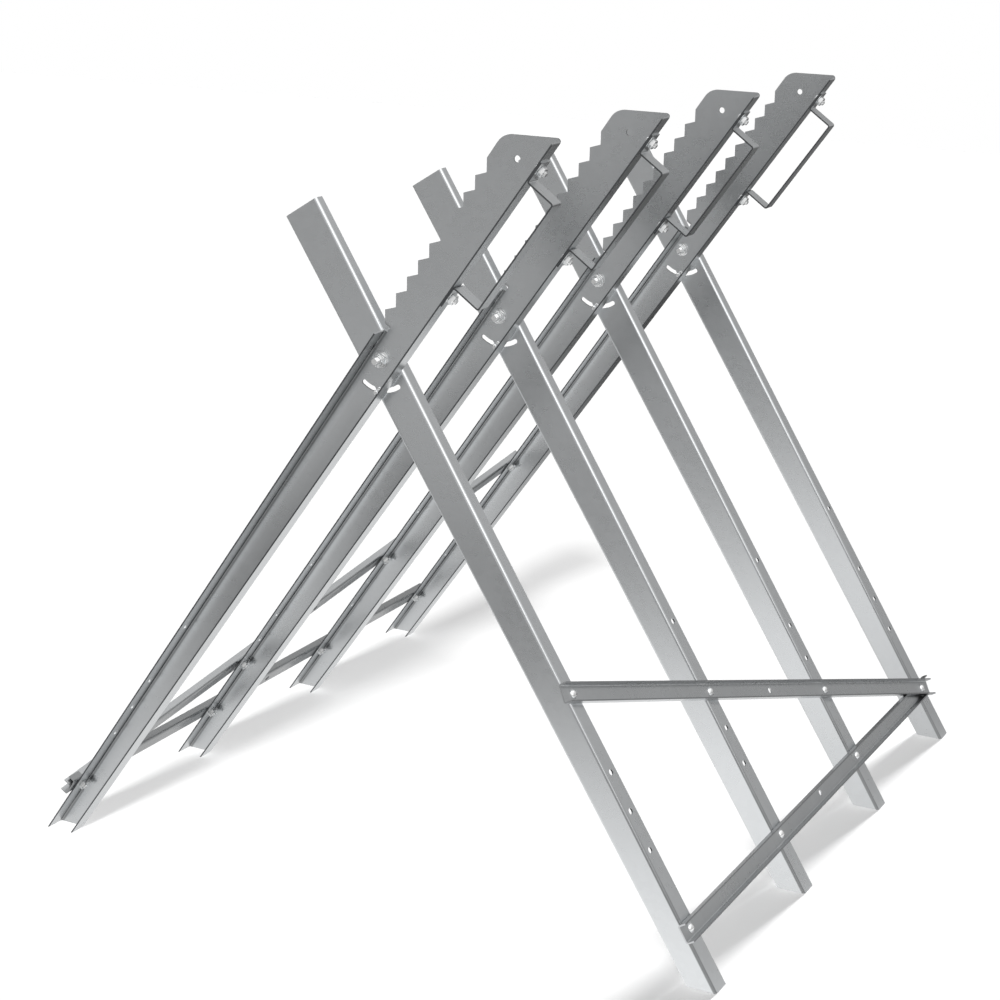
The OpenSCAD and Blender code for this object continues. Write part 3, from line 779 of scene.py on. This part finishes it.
def fastener_materials():
    return [material("bright_zinc", bright_zinc), material("locking_nylon", locking_nylon)]


def dress(names, finish_material):
    """Gives CAD nodes a material of their own."""
    for name in names:
        for slot in frame["nodes"][name].material_slots:
            slot.material = finish_material


def fit_piece(surface, name, node, body):
    """Puts a surface in place of a CAD node and lets it ride on that node's body."""
    piece = surface.mesh(name, fastener_materials())
    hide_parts(node)
    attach(piece, body)


# Operators


class LOGSTAND_OT_sheet_frames(bpy.types.Operator):
    """Finish the toothed arms and the plain legs as satin galvanised sheet with bare cut edges"""

    bl_idname = "logstand.sheet_frames"
    bl_label = "Arms and Legs"

    def execute(self, context):
        s = sizes()
        # the arms carry painted shade and light, the legs a painted highlight on their bends
        dress([f"toothed_arm_{k + 1}" for k in range(FRAMES)],
              material("galvanised_arm", galvanised, s.arm_angle, frame_edges, arm_painted_shade_and_light))
        dress([f"leg_{k + 1}" for k in range(FRAMES)],
              material("galvanised_leg", galvanised, -s.leg_angle, frame_edges, leg_painted_highlight))
        return {"FINISHED"}


class LOGSTAND_OT_handles(bpy.types.Operator):
    """Finish the strap handles as galvanised flat bar with sheared sides"""

    bl_idname = "logstand.handles"
    bl_label = "Handles"

    def execute(self, context):
        dress([f"handle_{k + 1}" for k in range(FRAMES)],
              material("galvanised_strap", galvanised, sizes().arm_angle, strap_edges))
        return {"FINISHED"}


class LOGSTAND_OT_braces(bpy.types.Operator):
    """Finish the channel braces as galvanised sheet with bare flange edges"""

    bl_idname = "logstand.braces"
    bl_label = "Braces"

    def execute(self, context):
        # painted shade on the braces: the arm braces darker than the leg braces
        for side, bare, painted_light_and_tone_rule in (("arm", 1.0, brace_painted_shade_and_clouds(0.42)), ("leg", 0.55, brace_painted_shade_and_clouds(0.74))):
            rule = brace_edges(side + "_near", bare)
            dress([f"{side}_lower_brace", f"{side}_diagonal_brace"],
                  material(f"galvanised_{side}_brace", galvanised, 0.0, rule, painted_light_and_tone_rule))
        return {"FINISHED"}


class LOGSTAND_OT_brace_fasteners(bpy.types.Operator):
    """Make the domed bolts and chamfered nuts of the braces"""

    bl_idname = "logstand.brace_fasteners"
    bl_label = "Brace Bolts and Nuts"

    def execute(self, context):
        s, f = sizes(), fasteners()
        for side, body in (("arm", ARM_BODY), ("leg", LEG_BODY)):
            bolts, nuts = Surface(), Surface()
            places, axes = brace_bolt_places(side)
            for origin, seat in places:
                domed_bolt(bolts, origin, axes, seat, -s.sheet - f.nut_h - f.bolt_out)
                nut = chamfered_hex(f.nut_hex, f.nut_h, f.bolt_r * PLAY, f.turns) - (0, 0, s.sheet + f.nut_h)
                nuts.grid(placed(nut, origin, axes), close_v=True)
            fit_piece(bolts, f"{side}_mushroom_bolts", f"{side}_brace_bolts", body)
            fit_piece(nuts, f"{side}_hex_nuts", f"{side}_brace_nuts", body)
        return {"FINISHED"}


class LOGSTAND_OT_handle_fasteners(bpy.types.Operator):
    """Make the domed bolts inside the arms and the nuts on the handle feet"""

    bl_idname = "logstand.handle_fasteners"
    bl_label = "Handle Bolts and Nuts"

    def execute(self, context):
        s, f = sizes(), fasteners()
        bolts, nuts = Surface(), Surface()
        places, (along, across, out) = handle_bolt_places()
        inward = (along, -across, -out)
        for origin in places:
            domed_bolt(bolts, origin, inward, s.sheet, -s.strap - f.nut_h - f.bolt_out)
            nut = chamfered_hex(f.nut_hex, f.nut_h, f.bolt_r * PLAY, f.turns) - (0, 0, s.strap + f.nut_h)
            nuts.grid(placed(nut, origin, inward), close_v=True)
        fit_piece(bolts, "handle_mushroom_bolts", "handle_bolts", ARM_BODY)
        fit_piece(nuts, "handle_hex_nuts", "handle_nuts", ARM_BODY)
        return {"FINISHED"}


class LOGSTAND_OT_pivots(bpy.types.Operator):
    """Make the pivot bolts with their heads, threads, washers and locking nuts"""

    bl_idname = "logstand.pivots"
    bl_label = "Pivots"

    def execute(self, context):
        s, f = sizes(), fasteners()
        n = f.pivot_turns
        bolts, washers, nuts = Surface(), Surface(), Surface()
        places, ahead = pivot_places()
        back = (ahead[0], -ahead[1], -ahead[2])
        face = s.web_gap / 2 + s.sheet
        rear = face + s.web_gap
        base, seat = face + f.washer_h, rear + f.washer_h
        collar = 0.3 * f.pivot_nut_h
        low, top = base + f.pivot_nut_h - 1.25 * collar, base + f.pivot_nut_h
        wide, rim = 0.44 * f.pivot_hex, 0.06 * f.pivot_hex
        head = hex_head(f.pivot_hex, f.pivot_head_h, f.pivot_r, n) + (0, 0, seat)
        washer = flat_washer(f.pivot_r * WASHER_PLAY, f.washer_r, f.washer_h, n)
        hexed = chamfered_hex(f.pivot_hex, f.pivot_nut_h - collar, f.pivot_r * PLAY, n) + (0, 0, base)
        lip = nut_collar(wide, rim, low, top, collar, n)
        ring = nut_insert(f.pivot_r, wide - 1.03 * rim, low, top, collar, n)
        for origin in places:
            bolts.grid(placed(head, origin, back))
            bolt_shank(bolts, origin, back, f.pivot_r, f.pivot_pitch, seat, -f.pivot_out, n)
            washers.grid(placed(washer + (0, 0, face), origin, ahead), close_v=True)
            washers.grid(placed(washer + (0, 0, rear), origin, back), close_v=True)
            nuts.grid(placed(hexed, origin, ahead), close_v=True)
            nuts.grid(placed(lip, origin, ahead), close_v=True)
            nuts.grid(placed(ring, origin, ahead), slot=1, close_v=True)
        fit_piece(bolts, "pivot_hex_bolts", "pivot_bolts", ARM_BODY)
        fit_piece(washers, "pivot_flat_washers", "pivot_washers", ARM_BODY)
        fit_piece(nuts, "pivot_locking_nuts", "pivot_nuts", ARM_BODY)
        return {"FINISHED"}


class LOGSTAND_OT_stops(bpy.types.Operator):
    """Make the stop pins with their rounded ends, rear heads and front collars"""

    bl_idname = "logstand.stops"
    bl_label = "Stop Pins"

    def execute(self, context):
        s, f = sizes(), fasteners()
        pins, collars = Surface(), Surface()
        places, axes = pivot_places(s.stop_radius)
        face = s.web_gap / 2 + s.sheet + f.stop_gap
        pin = stop_pin(f.stop_r, f.stop_head_r, f.stop_head_h, face, f.stop_out, f.turns)
        ring = stop_collar(f.stop_r, f.stop_head_r, f.stop_head_h, face, f.turns)
        for origin in places:
            pins.grid(placed(pin, origin, axes))
            collars.grid(placed(ring, origin, axes), close_v=True)
        fit_piece(pins, "stop_round_pins", "stop_pins", STOP_BODY)
        fit_piece(collars, "stop_front_collars", "stop_collars", STOP_BODY)
        return {"FINISHED"}


class LOGSTAND_OT_studio(bpy.types.Operator):
    """Set the camera, the white floor and the studio lights"""

    bl_idname = "logstand.studio"
    bl_label = "Studio"

    def execute(self, context):
        self.camera(context.scene)
        self.world(context.scene)
        self.lamps(self.floor())
        context.scene.view_settings.view_transform = "Standard"
        return {"FINISHED"}

    def camera(self, scene):
        """Camera at the eye, looking along the azimuth and elevation and leaned by the roll."""
        g = stage()
        a, e, r = g.azimuth, g.elevation, g.roll
        back = np.array([np.sin(a) * np.cos(e), -np.cos(a) * np.cos(e), np.sin(e)])
        right = np.array([np.cos(a), np.sin(a), 0.0])
        up = np.cross(back, right)
        right, up = right * np.cos(r) - up * np.sin(r), right * np.sin(r) + up * np.cos(r)
        data = bpy.data.cameras.new("studio_camera")
        data.sensor_fit, data.sensor_width, data.lens = "HORIZONTAL", 36.0, g.lens
        data.clip_end = 60.0
        obj = bpy.data.objects.new("studio_camera", data)
        turn = Matrix(np.column_stack([right, up, back]).tolist()).to_4x4()
        obj.matrix_world = Matrix.Translation(g.eye) @ turn
        scene.collection.objects.link(obj)
        scene.camera = obj

    def floor(self):
        """White floor that keeps the shadow. The metal sees it bright under the stand, darker behind it and
        beside the arms' feet, with a dark ring round it, as a studio floor beyond its lamps."""
        g = stage()
        u = np.linspace(-g.floor_half, g.floor_half, FLOOR_ROWS)
        x, y = np.meshgrid(u, u)
        surface = Surface()
        surface.grid(np.stack([x, y, np.full_like(x, -FLOOR_DROP)], axis=-1), close_u=False)
        b = Bench(bpy.data.materials.new("studio_floor"))
        x, y, _ = b.split(b.place())
        ring = b.ramp((x * x * RING_SQUEEZE + y * y).root() / RING_REACH, RING_TONES)
        right = x.fade(full=0.2, none=-0.1)
        behind = FLOOR_LEVEL - FLOOR_FALL * y * right - FLOOR_FALL * y.fade(full=1.0, none=0.6)
        behind = behind.high(FLOOR_LIMITS[0]).low(FLOOR_LIMITS[1])
        beside = x.fade(full=-0.5, none=-0.15) * y.fade(full=-0.4, none=-0.9)
        path = b.node("ShaderNodeLightPath", out="Is Camera Ray")
        white = b.node("ShaderNodeBsdfDiffuse", None, {"Color": FLOOR_PAINT})
        lift = b.node("ShaderNodeEmission", None, {"Color": WHITE, "Strength": g.floor_white})
        seen = b.node("ShaderNodeAddShader", None, {0: white, 1: lift})
        level = behind * (1.0 - FOOT_DUSK * beside)
        felt = b.node("ShaderNodeEmission", None, {"Color": b.shade(ring, level)})
        b.surface(b.node("ShaderNodeMixShader", None, {0: path, 1: felt, 2: seen}))
        floor = surface.mesh("studio_floor", [b.owner], closed=False)
        return floor

    def world(self, scene):
        """White to the camera; to the metal a grey room with a bright ceiling and a bright pane at the front
        right, darker at the left of its rear wall."""
        g = stage()
        world = bpy.data.worlds.new("studio_world")
        b = Bench(world, "ShaderNodeOutputWorld")
        place = b.node("ShaderNodeTexCoord", out="Generated")
        x, y, up = b.split(place)
        up = up.high(0.0)
        walls = g.wall + WALL_RISE[0] * up + WALL_RISE[1] * up * up
        rear = REAR_RISE * (x - REAR_EVEN) * y.high(0.0)
        pane = b.along(place, PANE_AIM).fade(full=1.0, none=0.72)
        level = walls + rear + g.ceiling * up * up * up * up + g.pane * pane * pane
        path = b.node("ShaderNodeLightPath", out="Is Camera Ray")
        b.surface(b.node("ShaderNodeBackground", None, {"Color": b.blend(path, b.grey(level), WHITE)}))
        scene.world = world
        world.cycles_visibility.diffuse = False

    def lamps(self, floor):
        """Two distant key lamps that don't show in the metal, each nearly in line with the legs or the arms
        whose shadow it casts, so that the shadow lies along their feet, and two soft boxes, kept off the
        floor, that light bends, bolts and nuts. The last arm casts no shadow, to keep the band behind it
        short."""
        g = stage()
        legs = [f"leg_{k + 1}" for k in range(FRAMES)]
        arms = [f"toothed_arm_{k + 1}" for k in range(FRAMES - 1)]
        keys = (("key_lamp_legs", g.leg_key, g.leg_key_size, g.key_legs, legs),
                ("key_lamp_arms", g.arm_key, g.arm_key_size, g.key_arms, arms))
        for name, power, width, aim, nodes in keys:
            key = bpy.data.lights.new(name, "SUN")
            key.energy, key.angle = power, width
            obj = self.hang(key, np.array(aim) * KEY_DISTANCE, (0.0, 0.0, 0.0))
            obj.visible_glossy = False
            blockers = bpy.data.collections.new(name + "_shadow")
            for node in nodes:
                blockers.objects.link(frame["nodes"][node])
            obj.light_linking.blocker_collection = blockers
        lit = bpy.data.collections.new("soft_box_light")
        lit.objects.link(floor)
        lit.collection_objects[0].light_linking.link_state = "EXCLUDE"
        for name, place, target, width, height, watts in SOFT_BOXES:
            box = bpy.data.lights.new(name, "AREA")
            box.shape, box.size, box.size_y, box.energy = "RECTANGLE", width, height, watts
            self.hang(box, place, target).light_linking.receiver_collection = lit

    def hang(self, lamp, place, target):
        """Puts a lamp at a place, turned to its target."""
        back = np.array(place) - np.array(target)
        back /= np.linalg.norm(back)
        right = np.cross((0.0, 0.0, 1.0), back)
        right /= np.linalg.norm(right)
        obj = bpy.data.objects.new(lamp.name, lamp)
        turn = Matrix(np.column_stack([right, np.cross(back, right), back]).tolist()).to_4x4()
        obj.matrix_world = Matrix.Translation(place) @ turn
        bpy.context.scene.collection.objects.link(obj)
        return obj


STEPS = (LOGSTAND_OT_studio, LOGSTAND_OT_sheet_frames, LOGSTAND_OT_handles, LOGSTAND_OT_braces,
         LOGSTAND_OT_brace_fasteners, LOGSTAND_OT_handle_fasteners, LOGSTAND_OT_pivots, LOGSTAND_OT_stops)


class LOGSTAND_PT_panel(bpy.types.Panel):
    """Steps that dress the log saw stand"""

    bl_idname = "LOGSTAND_PT_panel"
    bl_label = "Log Saw Stand"
    bl_space_type = "VIEW_3D"
    bl_region_type = "UI"
    bl_category = "Log Stand"

    def draw(self, context):
        for step in STEPS:
            self.layout.operator(step.bl_idname)


GROUPS = {"log_stand_sizes": StandSizes, "log_stand_fasteners": FastenerSizes,
          "log_stand_finish": StandFinish, "log_stand_stage": StandStage}


def register():
    for cls in (*GROUPS.values(), *STEPS, LOGSTAND_PT_panel):
        bpy.utils.register_class(cls)
    for name, group in GROUPS.items():
        setattr(bpy.types.Scene, name, PointerProperty(type=group))


def unregister():
    for name in GROUPS:
        delattr(bpy.types.Scene, name)
    for cls in (LOGSTAND_PT_panel, *reversed(STEPS), *reversed(list(GROUPS.values()))):
        bpy.utils.unregister_class(cls)


def main():
    register()
    for step in STEPS:
        group, name = step.bl_idname.split(".")
        getattr(getattr(bpy.ops, group), name)()


if __name__ == "__main__":
    main()
